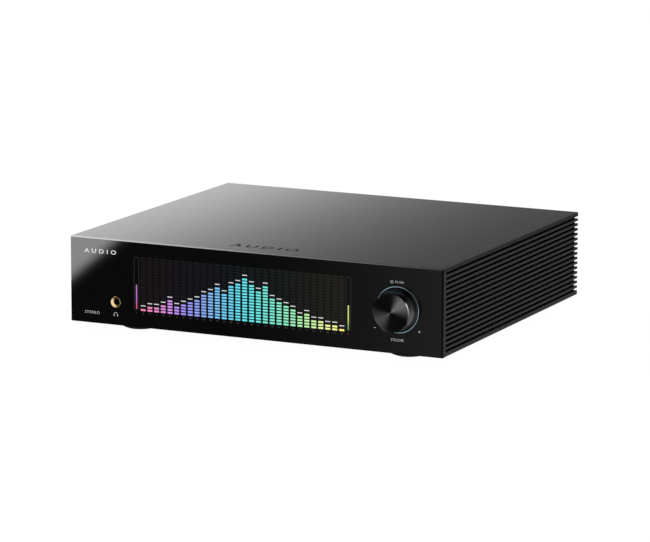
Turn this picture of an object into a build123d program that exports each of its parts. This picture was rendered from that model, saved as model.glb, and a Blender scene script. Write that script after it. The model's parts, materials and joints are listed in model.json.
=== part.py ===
from build123d import *
import math
import os

# A full-width hi-fi digital-to-analogue converter, as separate pieces.
# Working frame: x = 0 on the centre line, y = 0 on the front of the glass with +y to the back,
# z = 0 on the underside of the body. Pieces are moved to the stored frame when they are written:
# origin under the middle of the whole box, on the surface that the feet stand on.

# ---- driving dimensions, millimetres ----
BODY_W = 430.0
BODY_D = 367.6
BODY_H = 91.8
FOOT_H = 10.0
FOOT_R = 19.5
FOOT_X = 156.7
FOOT_Y = 48.5
GLASS_T = 3.0
GLASS_BEVEL = 1.0
FRAME_T = 5.3
COVER_T = 4.4
WEB_T = 4.0
FIN_DEPTH = 4.0
FIN_COUNT = 15
GROOVE_H = 2.75
LAND_H = 4.5
BOTTOM_T = 2.0
REAR_T = 3.0
REAR_INSET = 5.0
PHONO_REACH = 10.0
KNOB_X = 164.6
KNOB_R = 20.4
KNOB_SKIRT_R = 21.8
KNOB_REACH = 16.5
KNOB_GAP = 1.0
KNOB_SKIRT_TOP = 6.0
KNOB_HUB_R = 7.0
KNOB_HOLLOW_R = 17.0
RING_OUT_R = 24.5
RING_IN_R = 23.3
JACK_X = -160.9
JACK_Z = 24.7
JACK_BORE_R = 3.25
SCREEN_X = -13.0
SCREEN_W = 270.0
SCREEN_H = 74.0
BOARD_T = 1.6
STANDOFF_H = 10.0
STANDOFF_INSET = 5.0
SLIP = 0.05     # radial play of a turning or sliding fit
LOOSE = 0.1     # play round a piece that is only located

# ---- depths behind the front of the glass ----
DISPLAY_BACK = 11.0
LIGHT_RING_BACK = 5.2
KNOB_BASE_BACK = 3.4
SHAFT_R = 3.0
SHAFT_FLAT = 1.5
SHAFT_END = 15.6
BUSH_R = 4.4
BUSH_NUT_R = 6.9
ENCODER_W = 14.0
BODY_BACK = 18.3
SWITCH_FRONT = 19.6
SWITCH_BACK = 21.9
JACK_RING_R = 6.0
JACK_NECK_R = 4.25
JACK_MOUTH_R = 5.3
JACK_PROUD = 0.8
JACK_BUSH_END = 15.4
JACK_BODY_END = 38.0

# ---- worked-out places ----
MID_Z = BODY_H / 2
FRAME_BACK = GLASS_T + FRAME_T
SIDE_TOP = BODY_H - COVER_T
INNER_X = BODY_W / 2 - FIN_DEPTH - WEB_T
REAR_OUT = BODY_D - REAR_INSET
REAR_IN = REAR_OUT - REAR_T
BOARD_Z = BOTTOM_T + STANDOFF_H
FLANGE_W = 8.0
FLANGE_T = 5.0
FLANGE_X = INNER_X - FLANGE_W / 2
PLATE_T = 2.0
PLATE_BACK = FRAME_BACK + PLATE_T
LEDGE_SCREWS = (-180.0, -20.0, 180.0)
LEDGE_Y = FRAME_BACK + 4.0
LEDGE_TOP = 6.2
SIDE_SCREW_Y = (36.0, 190.0, 340.0)
REAR_SCREWS = [(side * FLANGE_X, z) for side in (-1, 1) for z in (4.5, SIDE_TOP - 3.2)]
FEET = [(side * FOOT_X, y) for y in (FOOT_Y, BODY_D - FOOT_Y) for side in (-1, 1)]
PAD_R = 16.0
PAD_DROP = 1.2      # how far the rubber pads stand below the metal of the feet
STORED = Location((0, (KNOB_REACH - REAR_OUT - PHONO_REACH) / 2, FOOT_H))

M3_R = 1.5
M3_HOLE_R = 1.6
M3_HEAD_R = 2.75
M3_HEAD_H = 1.8
M4_R = 2.0
M4_HOLE_R = 2.15

INLET = (-172.0, 34.0)
SWITCH = (-128.0, 34.0)
BALANCED = {"left": (172.0, 58.0), "right": (122.0, 58.0)}
DIGITAL_BALANCED = (52.0, 58.0)
PHONO = [(172.0, 22.0), (122.0, 22.0), (64.0, 22.0), (40.0, 22.0)]
OPTICAL = (-18.0, 22.0)
USB = (-48.0, 22.0)
HDMI = (11.0, 22.0)
XLR_FLANGE_W = 26.0
XLR_FLANGE_H = 31.0
XLR_CUP_R = 8.2
XLR_CUP_DEPTH = 16.0
XLR_PIN_R = 1.2
XLR_TAIL_R = 1.0
XLR_HOLE_R = 1.3
XLR_PIN_CIRCLE_R = 4.75
XLR_SCREW = (9.5, 12.0)
ROCKER_TILT = 12.0
ROCKER_PIVOT = -3.0
SHUTTER_PIVOT = (4.0, -0.3)

TRANSFORMER_X = -144.5
TRANSFORMER_Y = {"main": 101.0, "analogue": 200.0}
TRANSFORMER_TOP = BOTTOM_T + 38.0
CLAMP_T = 2.0
DIVIDER_X = -83.0
BOARDS = {
    "psu": (-196.0, -88.0, 252.0, 332.0),
    "main": (-75.0, 75.0, 70.0, 340.0),
    "dac": (88.0, 196.0, 90.0, 345.0),
}
STANDOFFS = [
    (x, y)
    for low, high, front, back in BOARDS.values()
    for x in (low + STANDOFF_INSET, high - STANDOFF_INSET)
    for y in ((front + STANDOFF_INSET, back - STANDOFF_INSET) if back - front < 100 else
              (front + STANDOFF_INSET, (front + back) / 2, back - STANDOFF_INSET))
]


# ---- helpers ----
def block(x0, x1, y0, y1, z0, z1):
    centre = Pos((x0 + x1) / 2, (y0 + y1) / 2, (z0 + z1) / 2)
    return centre * Box(x1 - x0, y1 - y0, z1 - z0)


def rod_y(x, z, radius, y0, y1):
    return Pos(x, (y0 + y1) / 2, z) * Rot(90, 0, 0) * Cylinder(radius, y1 - y0)


def rod_z(x, y, radius, z0, z1):
    return Pos(x, y, (z0 + z1) / 2) * Cylinder(radius, z1 - z0)


def slab(width, height, z0, z1, x=0.0, y=0.0, corner=0.0):
    """Rounded plate in a local frame, z0 to z1 along its normal."""
    outline = RectangleRounded(width, height, corner) if corner else Rectangle(width, height)
    return Pos(x, y, z0) * extrude(outline, z1 - z0)


def disc(radius, z0, z1, x=0.0, y=0.0):
    return Pos(x, y, (z0 + z1) / 2) * Cylinder(radius, z1 - z0)


def front_place(x, z):
    """Local z points out of the front, local y points up."""
    return Plane(origin=(x, 0, z), x_dir=(1, 0, 0), z_dir=(0, -1, 0)).location


def rear_place(x, z):
    """Local z points out of the rear panel's outer face, local y up, x to the viewer's right."""
    return Plane(origin=(x, REAR_OUT, z), x_dir=(-1, 0, 0), z_dir=(0, 1, 0)).location


def turned(points):
    """Closed outline of (radius, height) points, revolved about local z."""
    outline = make_face(Polyline(*[(r, 0, h) for r, h in points], close=True))
    return revolve(outline, Axis.Z)


def save(node, *shapes):
    solids = [solid.moved(STORED) for shape in shapes for solid in shape.solids()]
    whole = solids[0] if len(solids) == 1 else Compound(solids)
    export_step(whole, f"parts/{node}.step")


def pan_screw(length):
    """M3 screw: head below z = 0, shank up to z = length."""
    body = disc(M3_HEAD_R, -M3_HEAD_H, 0)
    body = fillet(body.faces().sort_by(Axis.Z)[0].edges(), 0.6)
    body += disc(M3_R, 0, length)
    return body - Pos(0, 0, -M3_HEAD_H) * extrude(RegularPolygon(1.15, 6), 1.1)


# ---- front ----
def front_glass():
    plate = block(-BODY_W / 2, BODY_W / 2, 0, GLASS_T, 0, BODY_H)
    plate = chamfer(plate.faces().sort_by(Axis.Y)[0].edges(), GLASS_BEVEL)
    plate -= rod_y(KNOB_X, MID_Z, RING_OUT_R + SLIP, -1, GLASS_T + 1)
    return plate - rod_y(JACK_X, JACK_Z, JACK_RING_R + LOOSE, -1, GLASS_T + 1)


def front_frame():
    half = BODY_W / 2
    window = (SCREEN_W / 2 + 0.5, SCREEN_H / 2 + 0.5)
    plate = block(-half, half, GLASS_T, FRAME_BACK, 0, SIDE_TOP)
    plate -= block(SCREEN_X - window[0], SCREEN_X + window[0], GLASS_T - 1, FRAME_BACK + 1,
                   MID_Z - window[1], MID_Z + window[1])
    plate -= rod_y(KNOB_X, MID_Z, RING_OUT_R + SLIP, 0, FRAME_BACK + 1)
    plate -= rod_y(JACK_X, JACK_Z, JACK_NECK_R + LOOSE, 0, FRAME_BACK + 1)
    plate += block(-190, 190, FRAME_BACK, FRAME_BACK + 8, BOTTOM_T, LEDGE_TOP)
    for x in LEDGE_SCREWS:
        plate -= rod_z(x, LEDGE_Y, M3_R + SLIP, BOTTOM_T - 1, LEDGE_TOP + 1)
    return plate


def display():
    low, high = SCREEN_X - SCREEN_W / 2, SCREEN_X + SCREEN_W / 2
    bottom, top = MID_Z - SCREEN_H / 2, MID_Z + SCREEN_H / 2
    cell_back = GLASS_T + 2.5
    light_back = DISPLAY_BACK - 1.5
    save("display_lcd", block(low, high, GLASS_T, cell_back, bottom, top))
    save("display_backlight", block(low, high, cell_back, light_back, bottom, top))
    rim = 4.5
    tray = block(low - rim, high + rim, FRAME_BACK, DISPLAY_BACK, bottom - 2.5, top + 2.5)
    tray -= block(low - 0.2, high + 0.2, FRAME_BACK - 1, light_back, bottom - 0.2, top + 0.2)
    for x in (-110, -60, 34, 84):
        tray -= block(x - 18, x + 18, light_back - 1, light_back + 2, MID_Z - 12, MID_Z + 12)
    save("display_bracket", tray)


# ---- volume control ----
def volume_knob():
    base = KNOB_GAP
    outline = Polyline((0, 0, base + 8), (9, 0, base + 8), (9, 0, base), (KNOB_SKIRT_R - 0.4, 0, base),
                       (KNOB_SKIRT_R, 0, base + 0.4))
    flare = ThreePointArc((KNOB_SKIRT_R, 0, base + 0.4), (KNOB_R + 0.42, 0, 3.4), (KNOB_R, 0, KNOB_SKIRT_TOP))
    side = Polyline((KNOB_R, 0, KNOB_SKIRT_TOP), (KNOB_R, 0, KNOB_REACH - 0.9),
                    (KNOB_R - 0.9, 0, KNOB_REACH), (0, 0, KNOB_REACH), (0, 0, base + 8))
    body = revolve(make_face([*outline.edges(), *flare.edges(), *side.edges()]), Axis.Z)
    hub = disc(KNOB_HUB_R, base, base + 9)
    body += hub - disc(KNOB_R, base + 8.5, base + 10)
    hollow = disc(KNOB_HOLLOW_R, base - 1, base + 7) - disc(KNOB_HUB_R, base - 2, base + 8)
    body -= hollow
    body -= shaft_section(SHAFT_R + 0.03, base - 1, KNOB_REACH - 3.5, 0.03)
    grub_hole = Pos(0, -12, 8) * Rot(90, 0, 0) * Cylinder(M3_R + SLIP, 22)
    body -= grub_hole
    return front_place(KNOB_X, MID_Z) * body


def shaft_section(radius, z0, z1, play=0.0):
    """D-shaped rod with a flat on its lower side."""
    return disc(radius, z0, z1) - Pos(0, -5 - SHAFT_FLAT - play, (z0 + z1) / 2) * Box(20, 10, z1 - z0 + 2)


def encoder_shaft():
    rod = shaft_section(SHAFT_R, 0, KNOB_REACH - 3.5)
    rod += disc(SHAFT_R, -SHAFT_END, 0)
    rod += disc(5.0, -14.0, -12.0)
    return front_place(KNOB_X, MID_Z) * rod


def knob_grub_screw():
    screw = Pos(0, -SHAFT_FLAT - SLIP - 4, 8) * Rot(90, 0, 0) * (
        Cylinder(M3_R, 8) - Pos(0, 0, 4) * extrude(RegularPolygon(0.85, 6), -2))
    return front_place(KNOB_X, MID_Z) * screw


def volume_control():
    place = front_place(KNOB_X, MID_Z)
    save("volume_knob", volume_knob())
    save("encoder_shaft", encoder_shaft())
    save("knob_grub_screw", knob_grub_screw())

    spigot = disc(11.8, -FRAME_BACK, -KNOB_BASE_BACK) - disc(8.6, -FRAME_BACK - 1, -KNOB_BASE_BACK)
    face = disc(RING_IN_R - 0.1, -KNOB_BASE_BACK, -0.2)
    face = chamfer(face.faces().sort_by(Axis.Z)[-1].edges(), 0.3)
    save("knob_base", place * (face + spigot - disc(BUSH_R + 0.2, -KNOB_BASE_BACK - 1, 1)))

    ring = disc(RING_OUT_R, -LIGHT_RING_BACK, 0) - disc(RING_IN_R, -KNOB_BASE_BACK, 1)
    ring -= disc(21.0, -LIGHT_RING_BACK - 1, -KNOB_BASE_BACK + 1)
    save("light_ring", place * ring)

    board_front = FRAME_BACK - BOARD_T
    board = disc(RING_OUT_R - 0.1, -FRAME_BACK, -board_front) - disc(12.0, -FRAME_BACK - 1, 0)
    save("ring_board", place * board)
    lamp = Pos(0, RING_IN_R, -board_front + 0.6) * Box(2.0, 1.6, 1.2)
    save("ring_leds", *[place * Rot(0, 0, 30 * k) * lamp for k in range(12)])

    plate = slab(66, 70, -PLATE_BACK, -FRAME_BACK, corner=4) - disc(BUSH_R + LOOSE, -PLATE_BACK - 1, 0)
    save("encoder_plate", place * plate)

    housing = slab(ENCODER_W, ENCODER_W, -BODY_BACK, -PLATE_BACK, corner=1) + disc(BUSH_R, -PLATE_BACK, -1.0)
    for side in (-1, 1):
        housing += slab(ENCODER_W, 2, -SWITCH_BACK, -BODY_BACK, y=side * (ENCODER_W / 2 - 1))
    housing -= disc(5.6, -17.4, -11.2)
    housing -= disc(SHAFT_R + SLIP, -12, 1)
    housing -= disc(1.0 + SLIP, -BODY_BACK - 1, -17)
    save("encoder_body", place * housing)
    nut = Pos(0, 0, -FRAME_BACK) * extrude(RegularPolygon(BUSH_NUT_R, 6), 2.5)
    save("encoder_nut", place * (nut - disc(BUSH_R + SLIP, -10, 0)))
    plunger = disc(4.0, -SHAFT_END - 0.8, -SHAFT_END) + disc(1.0, -18.9, -SHAFT_END - 0.8)
    save("encoder_plunger", place * plunger)
    dome = disc(1.8, -SWITCH_FRONT - 0.3, -SWITCH_FRONT)
    save("push_switch", place * (slab(6, 6, -SWITCH_BACK, -SWITCH_FRONT - 0.3, corner=0.5) + dome))
    save("encoder_board", place * slab(42, 36, -SWITCH_BACK - BOARD_T, -SWITCH_BACK, corner=2))


# ---- headphone socket ----
def headphone_socket():
    place = front_place(JACK_X, JACK_Z)
    mouth_end = JACK_PROUD - (JACK_MOUTH_R - JACK_BORE_R)
    mouth = turned([(0, mouth_end), (JACK_BORE_R, mouth_end), (JACK_MOUTH_R + 1, JACK_PROUD + 1),
                    (0, JACK_PROUD + 1)])
    ring = disc(JACK_RING_R, -GLASS_T, JACK_PROUD) - disc(JACK_NECK_R + SLIP, -GLASS_T - 1, 2)
    ring = fillet(ring.faces().sort_by(Axis.Z)[-1].edges().sort_by(SortBy.LENGTH)[-1], 0.45)
    save("jack_ring", place * (ring - mouth))
    flange_back = FRAME_BACK + 1.5
    bush = disc(JACK_NECK_R, -JACK_BUSH_END, 0.6) + disc(6.5, -flange_back, -FRAME_BACK)
    save("jack_bush", place * (bush - disc(JACK_BORE_R, -JACK_BUSH_END - 1, 2) - mouth))
    shell = slab(16, 15, -JACK_BODY_END, -flange_back, corner=1)
    shell -= disc(JACK_NECK_R + SLIP, -JACK_BUSH_END - LOOSE, 0) + disc(3.6, 2 - JACK_BODY_END, -10)
    save("jack_body", place * shell)
    board_top = JACK_Z - 7.5
    save("headphone_board", block(-196, -144, 11, 44, board_top - BOARD_T, board_top))


# ---- casing ----
def side_panel():
    """Right-hand panel: a web with fins outside and screw flanges inside."""
    fin_h = (SIDE_TOP - LAND_H - (FIN_COUNT + 1) * GROOVE_H) / FIN_COUNT
    fin_x = BODY_W / 2 - FIN_DEPTH / 2
    section = Pos(INNER_X + WEB_T / 2, SIDE_TOP / 2) * Rectangle(WEB_T, SIDE_TOP)
    section += Pos(fin_x, LAND_H / 2) * Rectangle(FIN_DEPTH, LAND_H)
    for k in range(FIN_COUNT):
        height = LAND_H + GROOVE_H + k * (fin_h + GROOVE_H) + fin_h / 2
        section += Pos(fin_x, height) * Rectangle(FIN_DEPTH, fin_h)
    tips = [v for v in section.vertices() if v.X > BODY_W / 2 - 0.01]
    section = fillet(tips, 0.45)
    panel = extrude(Plane.XZ * section, BODY_D - FRAME_BACK, dir=(0, 1, 0)).moved(Pos(0, FRAME_BACK, 0))
    flange_z = (BOTTOM_T, SIDE_TOP - FLANGE_T)
    for z in flange_z:
        panel += block(INNER_X - FLANGE_W, INNER_X + 1, FRAME_BACK, REAR_IN, z, z + FLANGE_T)
    for y in SIDE_SCREW_Y:
        panel -= rod_z(FLANGE_X, y, M3_HOLE_R, SIDE_TOP - FLANGE_T - 1, SIDE_TOP + 1)
        panel -= rod_z(FLANGE_X, y, M3_R + SLIP, 0, BOTTOM_T + FLANGE_T + 1)
    for side, z in REAR_SCREWS:
        panel -= rod_y(FLANGE_X, z, M3_R + SLIP, REAR_IN - 9, REAR_IN + 1)
    return panel


def top_cover():
    plate = block(-BODY_W / 2, BODY_W / 2, GLASS_T, BODY_D, SIDE_TOP, BODY_H)
    rim = [e for e in plate.faces().sort_by(Axis.Z)[-1].edges() if e.center().Y > GLASS_T + 1]
    plate = chamfer(rim, 0.5)
    for side in (-1, 1):
        for y in SIDE_SCREW_Y:
            plate -= rod_z(side * FLANGE_X, y, M3_R + SLIP, SIDE_TOP - 1, SIDE_TOP + 3)
    return plate


def bottom_plate():
    edge = INNER_X - LOOSE
    plate = block(-edge, edge, FRAME_BACK, REAR_OUT, 0, BOTTOM_T)
    for x, y in FEET:
        plate += rod_z(x, y, 4.5, BOTTOM_T, BOTTOM_T + 3)
        plate -= rod_z(x, y, M4_R + SLIP, -1, BOTTOM_T + 4)
    for y in TRANSFORMER_Y.values():
        plate -= rod_z(TRANSFORMER_X, y, 3.1, -1, BOTTOM_T + 1)
    for x in LEDGE_SCREWS:
        plate -= rod_z(x, LEDGE_Y, M3_HOLE_R, -1, BOTTOM_T + 1)
    for side in (-1, 1):
        for y in SIDE_SCREW_Y:
            plate -= rod_z(side * FLANGE_X, y, M3_HOLE_R, -1, BOTTOM_T + 1)
    slot = extrude(SlotOverall(34, 3), BOTTOM_T + 2)
    rows = [(x, 130.0 + 12 * k) for x in (-40, 0, 40) for k in range(5)]
    rows += [(x, 150.0 + 12 * k) for x in (120, 165) for k in range(5)]
    return plate - [Pos(x, y, -1) * slot for x, y in rows]


def rear_panel():
    edge = INNER_X - LOOSE
    plate = block(-edge, edge, REAR_IN, REAR_OUT, BOTTOM_T, SIDE_TOP)
    for x, z in REAR_SCREWS:
        plate -= rod_y(x, z, M3_HOLE_R, REAR_IN - 1, REAR_OUT + 1)
    plate -= rear_place(*INLET) * slab(27.2, 20.2, -5, 1)
    plate -= rear_place(*SWITCH) * slab(13.2, 19.8, -5, 1)
    for centre in [*BALANCED.values(), DIGITAL_BALANCED]:
        place = rear_place(*centre)
        plate -= place * disc(11.9, -5, 1)
        for side in (-1, 1):
            plate -= place * disc(M3_HOLE_R, -5, 1, side * XLR_SCREW[0], side * XLR_SCREW[1])
    plate -= rear_place(*DIGITAL_BALANCED) * slab(7.4, 4.4, -5, 1, y=12.4)
    for centre in PHONO:
        plate -= rear_place(*centre) * disc(5.1, -5, 1)
    plate -= rear_place(*OPTICAL) * slab(12.8, 12.8, -5, 1)
    plate -= rear_place(*USB) * slab(12.2, 11.2, -5, 1)
    return plate - rear_place(*HDMI) * slab(15.2, 5.8, -5, 1)


def feet():
    low = -FOOT_H + PAD_DROP
    shell = disc(FOOT_R, low, 0)
    shell = chamfer(shell.faces().sort_by(Axis.Z)[0].edges(), 0.8)
    shell -= disc(FOOT_R + 1, -2.6, -1.8) - disc(FOOT_R - 0.5, -3, -1)
    shell -= disc(PAD_R + 0.2, low - 1, low + 1)
    shell -= disc(5.0, low, -5) + disc(M4_HOLE_R, -6, 1)
    pad = disc(PAD_R, -FOOT_H, low + 1) - disc(6.0, -FOOT_H - 1, 0)
    pad = fillet(pad.faces().sort_by(Axis.Z)[0].edges().sort_by(SortBy.LENGTH)[-1], 0.5)
    bolt = disc(3.5, -7.6, -5) + disc(M4_R, -5, BOTTOM_T + 3)
    bolt -= Pos(0, 0, -7.6) * extrude(RegularPolygon(1.7, 6), 1.6)
    save("feet", *[Pos(x, y, 0) * shell for x, y in FEET])
    save("foot_pads", *[Pos(x, y, 0) * pad for x, y in FEET])
    save("foot_bolts", *[Pos(x, y, 0) * bolt for x, y in FEET])


def chassis_screws():
    screws = []
    for x in LEDGE_SCREWS:
        screws.append(Pos(x, LEDGE_Y, 0) * pan_screw(6))
    for side in (-1, 1):
        for y in SIDE_SCREW_Y:
            screws.append(Pos(side * FLANGE_X, y, 0) * pan_screw(6))
            screws.append(Pos(side * FLANGE_X, y, SIDE_TOP - FLANGE_T) * pan_screw(FLANGE_T + 2.5))
    for x, z in REAR_SCREWS:
        screws.append(rear_place(x, z) * Rot(180, 0, 0) * pan_screw(10))
    for centre in [*BALANCED.values(), DIGITAL_BALANCED]:
        for side in (-1, 1):
            spot = Pos(side * XLR_SCREW[0], side * XLR_SCREW[1], 2)
            screws.append(rear_place(*centre) * spot * Rot(180, 0, 0) * pan_screw(8))
    for x, y in STANDOFFS:
        screws.append(Pos(x, y, BOARD_Z + BOARD_T) * Rot(180, 0, 0) * pan_screw(6))
    return screws


# ---- rear sockets ----
def mains_inlet():
    place = rear_place(*INLET)
    shell = slab(31, 24, 0, 2, corner=2) + slab(27, 20, -25, 0)
    shell = fillet(shell.faces().sort_by(Axis.Z)[-1].edges(), 0.6)
    cavity = slab(24, 16.5, -16, 3)
    cavity = chamfer(cavity.edges().filter_by(Axis.Z).sort_by(Axis.Y)[-2:], 3.0)
    shell -= cavity
    blade = slab(2, 4, -31, -3, corner=0.4)
    blades = [Pos(x, y, 0) * blade for x, y in ((-7, -2.2), (7, -2.2), (0, 1.5))]
    for x, y in ((-7, -2.2), (7, -2.2), (0, 1.5)):
        shell -= slab(2.1, 4.1, -26, -15, x=x, y=y)
    save("iec_inlet", place * shell)
    save("inlet_pins", *[place * b for b in blades])


def power_switch():
    place = rear_place(*SWITCH)
    frame = slab(15.4, 22, 0, 1.8, corner=1.2) + slab(12.8, 19.4, -17, 0)
    frame = fillet(frame.faces().sort_by(Axis.Z)[-1].edges(), 0.5)
    frame -= slab(9.6, 17.4, -12, 3)
    pivot_hole = Pos(0, 0, ROCKER_PIVOT) * Rot(0, 90, 0) * Cylinder(1.2 + SLIP, 11.8)
    save("switch_frame", place * (frame - pivot_hole))

    valley = 0.6
    rise = 7.4 * math.tan(math.radians(ROCKER_TILT))
    outline = Polyline((0, valley), (7.4, valley + rise), (6.4, -4.8), (-6.4, -4.8),
                       (-7.4, valley + rise), close=True)
    section = Plane.YZ * make_face(outline)
    lever = extrude(section, 4.5, both=True)
    lever = fillet(lever.edges().filter_by(Axis.X).sort_by(Axis.Z)[-2:], 0.5)
    lever += Pos(0, 0, ROCKER_PIVOT) * Rot(0, 90, 0) * Cylinder(1.2, 11.6)
    tilted = Pos(0, 0, ROCKER_PIVOT) * Rot(ROCKER_TILT, 0, 0) * Pos(0, 0, -ROCKER_PIVOT) * lever
    save("power_rocker", place * tilted)


def xlr_flange():
    plate = slab(XLR_FLANGE_W, XLR_FLANGE_H, 0, 2, corner=3)
    for side in (-1, 1):
        plate -= disc(M3_HOLE_R, -1, 3, side * XLR_SCREW[0], side * XLR_SCREW[1])
    return plate


def xlr_pin_spots():
    return [(XLR_PIN_CIRCLE_R * math.cos(math.radians(a)), XLR_PIN_CIRCLE_R * math.sin(math.radians(a)))
            for a in (0, 180, 270)]


def balanced_outputs():
    shell = xlr_flange() + disc(11.8, -20, 0) - disc(XLR_CUP_R, -XLR_CUP_DEPTH, 3)
    pin = disc(XLR_PIN_R, -XLR_CUP_DEPTH, -3) + disc(XLR_TAIL_R, -26, -XLR_CUP_DEPTH)
    pin = fillet(pin.faces().sort_by(Axis.Z)[-1].edges(), 0.5)
    pins = []
    for x, y in xlr_pin_spots():
        shell -= disc(XLR_TAIL_R + SLIP, -21, -10, x, y)
    for side, centre in BALANCED.items():
        save(f"xlr_output_{side}", rear_place(*centre) * shell)
        pins += [rear_place(*centre) * Pos(x, y, 0) * pin for x, y in xlr_pin_spots()]
    save("xlr_output_pins", *pins)


def balanced_input():
    place = rear_place(*DIGITAL_BALANCED)
    shell = xlr_flange() + disc(11.8, -20, 0) - disc(9.8, -15, 3)
    shell -= slab(7.2, 4.2, -21, 3, y=12.4)
    save("aes_input", place * shell)
    insert = disc(7.9, -15, 1.4)
    for x, y in xlr_pin_spots():
        insert -= disc(XLR_HOLE_R, -14, 3, x, y)
    save("aes_insert", place * insert)
    tab = slab(7.0, 4.0, -9, 4.2, y=12.4)
    tab = fillet(tab.faces().sort_by(Axis.Z)[-1].edges(), 0.8)
    save("aes_latch", place * tab)


def phono_sockets():
    shell = disc(6.6, 0, 2) + disc(4.15, 2, PHONO_REACH) + disc(5.0, -10, 0)
    shell = chamfer(shell.faces().sort_by(Axis.Z)[-1].edges(), 0.4)
    shell -= disc(1.65, 0.5, PHONO_REACH + 1)
    save("phono_sockets", *[rear_place(*centre) * shell for centre in PHONO])


def optical_input():
    place = rear_place(*OPTICAL)
    shell = slab(14.5, 14.5, 0, 1.2, corner=1) + slab(12.6, 12.6, -18, 0) - slab(9.2, 9.4, -14.5, 2)
    pivot = Pos(0, SHUTTER_PIVOT[0], SHUTTER_PIVOT[1]) * Rot(0, 90, 0)
    save("optical_input", place * (shell - pivot * Cylinder(0.5 + SLIP, 11.2)))
    flap = slab(9.0, 9.05, -0.6, 0, y=-0.025)
    save("optical_shutter", place * (flap + pivot * Cylinder(0.5, 11.0)))


def usb_and_hdmi():
    usb = slab(12, 11, -18, 0.8) - slab(9.0, 8.4, -13, 2) + slab(5.6, 3.2, -13, -1.5)
    save("usb_socket", rear_place(*USB) * usb)
    hdmi = slab(15, 5.6, -14, 0.8, corner=0.8) - slab(14, 4.6, -11, 2) + slab(11, 1.2, -11, -1)
    save("hdmi_socket", rear_place(*HDMI) * hdmi)


# ---- inside ----
def board(name):
    low, high, front, back = BOARDS[name]
    plate = block(low, high, front, back, BOARD_Z, BOARD_Z + BOARD_T)
    return plate - [rod_z(x, y, M3_HOLE_R, BOARD_Z - 1, BOARD_Z + 3)
                    for x, y in STANDOFFS if low < x < high and front < y < back]


def boards():
    top = BOARD_Z + BOARD_T
    save("psu_board", board("psu"))
    save("main_board", board("main"))
    save("dac_board", board("dac"))
    post = extrude(RegularPolygon(3.2, 6), STANDOFF_H) - disc(M3_R + SLIP, 3, STANDOFF_H + 1)
    save("board_standoffs", *[Pos(x, y, BOTTOM_T) * post for x, y in STANDOFFS])
    can = fillet(disc(9, 0, 35).faces().sort_by(Axis.Z)[-1].edges(), 1.0)
    cans = [Pos(x, y, top) * can for x in (-180, -156, -132, -108) for y in (272, 300)]
    save("psu_capacitors", *cans)
    sink = block(-20, 20, 180, 220, top, top + 3)
    for k in range(9):
        sink += block(-20 + 4.8 * k, -18.4 + 4.8 * k, 180, 220, top + 3, top + 13)
    save("processor_heatsink", sink)
    relays = [block(x, x + 7.5, 130 + 15 * k, 140 + 15 * k, top, top + 6.5)
              for x in (112, 164) for k in range(8)]
    save("volume_relays", *relays)


def transformers():
    ring = disc(47, BOTTOM_T, TRANSFORMER_TOP) - disc(17, 0, TRANSFORMER_TOP + 1)
    ring = fillet(ring.edges().filter_by(GeomType.CIRCLE), 7)
    clamp = turned([(3.1, 0), (30, 0), (30, CLAMP_T), (3.1, CLAMP_T)])
    clamp = Pos(0, 0, TRANSFORMER_TOP) * clamp
    clamp_top = TRANSFORMER_TOP + CLAMP_T
    bolt = disc(5, -2.5, 0) + disc(3.0, 0, clamp_top + 7)
    nut = Pos(0, 0, clamp_top) * extrude(RegularPolygon(5.7, 6), 5) - disc(3.0 + SLIP, 0, clamp_top + 8)
    clamps = []
    bolts = []
    for name, y in TRANSFORMER_Y.items():
        save(f"transformer_{name}", Pos(TRANSFORMER_X, y, 0) * ring)
        clamps.append(Pos(TRANSFORMER_X, y, 0) * clamp)
        bolts += [Pos(TRANSFORMER_X, y, 0) * bolt, Pos(TRANSFORMER_X, y, 0) * nut]
    save("transformer_clamps", *clamps)
    save("transformer_bolts", *bolts)


def bay_divider():
    wall = block(DIVIDER_X, DIVIDER_X + 1.5, 20, 355, BOTTOM_T, 80)
    return wall + block(DIVIDER_X, DIVIDER_X + 6, 20, 355, BOTTOM_T, BOTTOM_T + 1.5)


def mains_leads():
    routes = [
        [(-165, 331.4, 31.8), (-165, 318, 31.8), (-128, 318, 31.8), (-128, 345.4, 31.8)],
        [(-128, 345.4, 38), (-128, 334, 38), (-128, 334, 62), (-108, 250, 62), (-108, 222, 41.4)],
        [(-179, 331.4, 31.8), (-179, 322, 31.8), (-179, 322, 62), (-189, 250, 62), (-182, 222, 41.4)],
    ]
    leads = []
    for route in routes:
        path = FilletPolyline(*route, radius=5)
        section = Plane(origin=path @ 0, z_dir=path % 0) * Circle(1.4)
        leads.append(sweep(section, path))
    return leads


def front_ribbon():
    top = BOARD_Z + BOARD_T
    path = FilletPolyline((DISPLAY_BACK, 28), (24, 28), (40, top + 4), (78, top + 4), (78, top), radius=2.5)
    strip = trace(path, 1.0)
    return extrude(Plane.YZ * strip, 14, both=True).moved(Pos(SCREEN_X, 0, 0))


def main():
    os.makedirs("parts", exist_ok=True)
    save("front_glass", front_glass())
    save("front_frame", front_frame())
    display()
    volume_control()
    headphone_socket()
    right = side_panel()
    save("side_panel_right", right)
    save("side_panel_left", mirror(right, about=Plane.YZ))
    save("top_cover", top_cover())
    save("bottom_plate", bottom_plate())
    save("rear_panel", rear_panel())
    feet()
    save("chassis_screws", *chassis_screws())
    mains_inlet()
    power_switch()
    balanced_outputs()
    balanced_input()
    phono_sockets()
    optical_input()
    usb_and_hdmi()
    boards()
    transformers()
    save("bay_divider", bay_divider())
    save("mains_leads", *mains_leads())
    save("front_ribbon", front_ribbon())


main()
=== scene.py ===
import json
import math

import bmesh
import bpy
from mathutils import Matrix, Vector


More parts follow.
